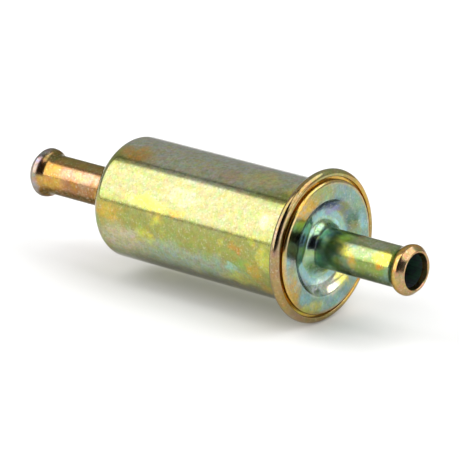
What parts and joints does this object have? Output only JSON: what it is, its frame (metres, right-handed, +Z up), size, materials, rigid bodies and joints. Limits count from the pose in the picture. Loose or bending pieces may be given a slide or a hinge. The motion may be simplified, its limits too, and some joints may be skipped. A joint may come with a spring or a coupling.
{
  "type": "inline fuel filter",
  "caption": "Small in-line fuel filter: yellow zinc-plated steel canister with a rolled end seam, beaded hose tubes and a sprung pleated-paper element inside.",
  "frame": {"origin": "on the axis, half-way between the two tube tips", "axes": "+X along the flow, from the inlet tube to the outlet tube; +Z up; the axis lies horizontal"},
  "size_m": [0.0942, 0.0302, 0.0302],
  "materials": {
    "zinc_canister": "yellow zinc plate, satin-bright",
    "zinc_cover": "yellow zinc plate with blue-green bloom, satin-bright",
    "zinc_inlet_tube": "copper-gold zinc plate, bright",
    "zinc_outlet_tube": "green-gold zinc plate, bright",
    "braze_metal": "plated braze, slightly rough",
    "sealing_compound": "matte",
    "tin_plate": "bright tin plate",
    "spring_steel": "drawn wire, satin",
    "filter_paper": "resin-cured, matte",
    "end_bond": "moulded plastisol, semi-matte",
    "seal_rubber": "moulded nitrile, matte"
  },
  "bodies": {
    "housing": {"canister_shell": "zinc_canister", "end_cover": "zinc_cover", "seam_sealant": "sealing_compound", "inlet_tube": "zinc_inlet_tube", "inlet_braze": "braze_metal", "outlet_tube": "zinc_outlet_tube", "outlet_braze": "braze_metal", "spring_seat": "tin_plate", "element_spring": "spring_steel"},
    "element": {"element_guide": "tin_plate", "inlet_end_cap": "tin_plate", "inlet_bond": "end_bond", "core_tube": "tin_plate", "pleated_media": "filter_paper", "media_clip": "tin_plate", "outlet_bond": "end_bond", "outlet_end_cap": "tin_plate", "outlet_grommet": "seal_rubber"}
  },
  "joints": [
    {"name": "element_lift", "type": "slide", "parent": "housing", "child": "element", "axis": [-1, 0, 0], "range_m": [0, 0.0016], "stiffness_N_per_m": 600, "springref_m": -0.004, "deforming": ["element_spring"]}
  ]
}
